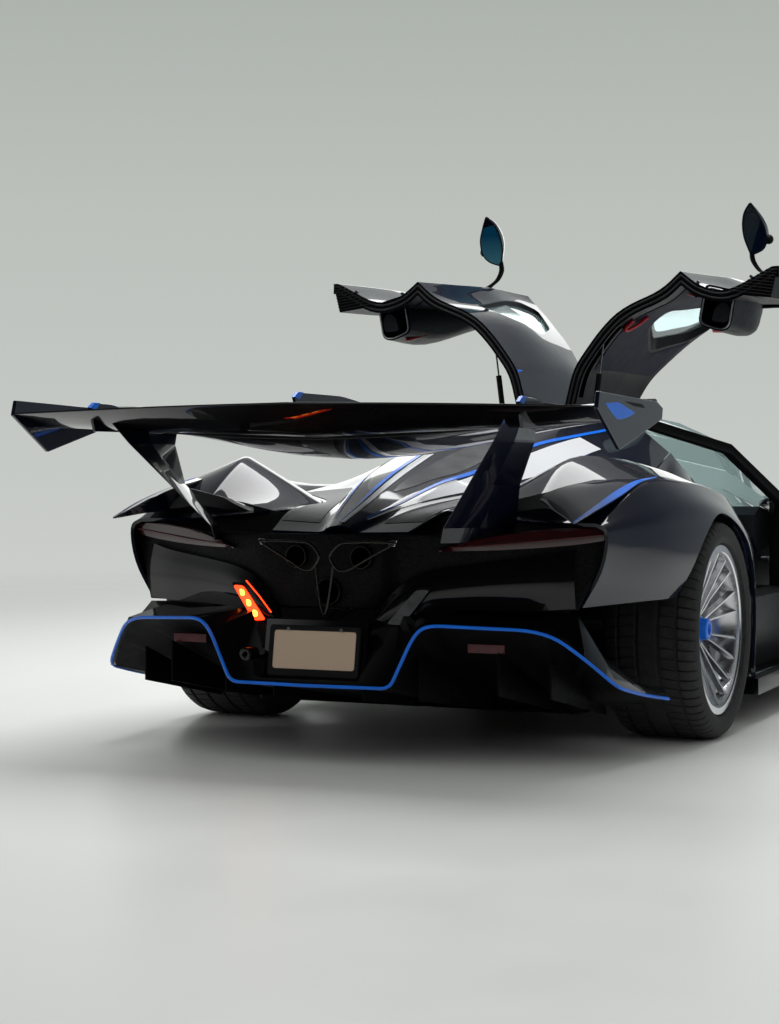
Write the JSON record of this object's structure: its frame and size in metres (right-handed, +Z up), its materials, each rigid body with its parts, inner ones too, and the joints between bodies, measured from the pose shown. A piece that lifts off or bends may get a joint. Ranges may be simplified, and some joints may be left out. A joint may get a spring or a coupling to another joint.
{
  "type": "mid-engined hypercar with gullwing doors",
  "caption": "Low two-seat mid-engined hypercar with raised gullwing doors, haunched rear fenders, a high rear wing on leaning pylons and a deep diffuser.",
  "frame": {"origin": "on the ground under the middle of the length and width", "axes": "+X forward, +Y to the car's left, +Z up"},
  "size_m": [5.07, 1.967, 2.013],
  "materials": {
    "body_paint": "high gloss clear coat over dark blue carbon",
    "exposed_carbon": "gloss black carbon",
    "tub_carbon": "satin carbon",
    "frame_steel": "satin black paint",
    "glazing": "clear, slightly blue",
    "lamp_red": "smoked red lens",
    "lamp_amber": "amber lens",
    "lamp_clear": "clear lens",
    "plate_blank": "blank plate in a dark frame",
    "exhaust_metal": "heat-stained metal",
    "rim_metal": "machined and clear coated",
    "tyre_rubber": "matte",
    "strut_black": "satin black",
    "strut_chrome": "polished rod",
    "suspension_metal": "machined",
    "engine_alloy": "cast",
    "seat_leather": "dark blue leather",
    "cabin_trim": "dark trim"
  },
  "bodies": {
    "root": {"bonnet": "body_paint", "dashboard": "cabin_trim", "diffuser": "exposed_carbon", "engine": "engine_alloy", "engine_cover": "body_paint", "exhaust": "exhaust_metal", "front_bumper": "exposed_carbon", "front_fenders": "body_paint", "front_frame": "frame_steel", "front_wishbones": "suspension_metal", "headlights": "lamp_clear", "indicators": "lamp_amber", "number_plate": "plate_blank", "rear_bumper": "exposed_carbon", "rear_fascia": "exposed_carbon", "rear_fenders": "body_paint", "rear_frame": "frame_steel", "rear_suspension": "suspension_metal", "roof_frame": "tub_carbon", "seats": "seat_leather", "side_skirts": "exposed_carbon", "splitter": "exposed_carbon", "steering_column": "suspension_metal", "tail_lights": "lamp_red", "tub": "tub_carbon", "undertray": "exposed_carbon", "windshield": "glazing", "wing": "body_paint", "wing_end_plates": "exposed_carbon", "wing_pylons": "exposed_carbon"},
    "door_left": {"door_left": "body_paint", "door_window_left": "glazing", "mirror_left": "exposed_carbon"},
    "door_right": {"door_right": "body_paint", "door_window_right": "glazing", "mirror_right": "exposed_carbon"},
    "strut_cylinder_left": {"strut_cylinder_left": "strut_black"},
    "strut_cylinder_right": {"strut_cylinder_right": "strut_black"},
    "strut_rod_left": {"strut_rod_left": "strut_chrome"},
    "strut_rod_right": {"strut_rod_right": "strut_chrome"},
    "knuckle_left": {"steering_knuckle_left": "suspension_metal"},
    "knuckle_right": {"steering_knuckle_right": "suspension_metal"},
    "steering_wheel": {"steering_wheel": "cabin_trim"},
    "wheel_front_left": {"wheel_front_left": "rim_metal", "tyre_front_left": "tyre_rubber"},
    "wheel_front_right": {"wheel_front_right": "rim_metal", "tyre_front_right": "tyre_rubber"},
    "wheel_rear_left": {"wheel_rear_left": "rim_metal", "tyre_rear_left": "tyre_rubber"},
    "wheel_rear_right": {"wheel_rear_right": "rim_metal", "tyre_rear_right": "tyre_rubber"}
  },
  "joints": [
    {"name": "door_left", "type": "hinge", "parent": "root", "child": "door_left", "pos_m": [-0.267, 0.085, 1.142], "axis": [1, 0, 0], "range_deg": [-80, 0]},
    {"name": "strut_foot_left", "type": "hinge", "parent": "root", "child": "strut_cylinder_left", "pos_m": [-0.267, 0.187, 1.087], "axis": [1, 0, 0], "range_deg": [-94.5, 0.5]},
    {"name": "strut_slide_left", "type": "slide", "parent": "strut_cylinder_left", "child": "strut_rod_left", "axis": [0, 0.1264, 0.992], "range_m": [-0.1355, 0.0005]},
    {"name": "door_right", "type": "hinge", "parent": "root", "child": "door_right", "pos_m": [-0.267, -0.085, 1.142], "axis": [-1, 0, 0], "range_deg": [-80, 0]},
    {"name": "strut_foot_right", "type": "hinge", "parent": "root", "child": "strut_cylinder_right", "pos_m": [-0.267, -0.187, 1.087], "axis": [-1, 0, 0], "range_deg": [-94.5, 0.5]},
    {"name": "strut_slide_right", "type": "slide", "parent": "strut_cylinder_right", "child": "strut_rod_right", "axis": [0, -0.1264, 0.992], "range_m": [-0.1355, 0.0005]},
    {"name": "steer_left", "type": "hinge", "parent": "root", "child": "knuckle_left", "pos_m": [1.469, 0.756, 0.347], "axis": [0, 0, 1], "range_deg": [-28, 28]},
    {"name": "steer_right", "type": "hinge", "parent": "root", "child": "knuckle_right", "pos_m": [1.469, -0.756, 0.347], "axis": [0, 0, 1], "range_deg": [-28, 28]},
    {"name": "steering_wheel_turn", "type": "hinge", "parent": "root", "child": "steering_wheel", "pos_m": [0.649, 0.268, 0.69], "axis": [-0.9272, 0, 0.3746], "range_deg": [-340, 340]},
    {"name": "wheel_front_left_spin", "type": "hinge", "parent": "knuckle_left", "child": "wheel_front_left", "pos_m": [1.469, 0.831, 0.347], "axis": [0, 1, 0], "continuous": true},
    {"name": "wheel_front_right_spin", "type": "hinge", "parent": "knuckle_right", "child": "wheel_front_right", "pos_m": [1.469, -0.831, 0.347], "axis": [0, 1, 0], "continuous": true},
    {"name": "wheel_rear_left_spin", "type": "hinge", "parent": "root", "child": "wheel_rear_left", "pos_m": [-1.231, 0.821, 0.364], "axis": [0, 1, 0], "continuous": true},
    {"name": "wheel_rear_right_spin", "type": "hinge", "parent": "root", "child": "wheel_rear_right", "pos_m": [-1.231, -0.821, 0.364], "axis": [0, 1, 0], "continuous": true}
  ],
  "couplings": [
    {"joint": "strut_foot_left", "follows": "door_left", "ratio": 1.1749},
    {"joint": "strut_slide_left", "follows": "door_left", "m_per_rad": 0.096681},
    {"joint": "strut_foot_right", "follows": "door_right", "ratio": 1.1749},
    {"joint": "strut_slide_right", "follows": "door_right", "m_per_rad": 0.096681},
    {"joint": "steer_right", "follows": "steer_left", "ratio": 1},
    {"joint": "steering_wheel_turn", "follows": "steer_left", "ratio": 12}
  ]
}
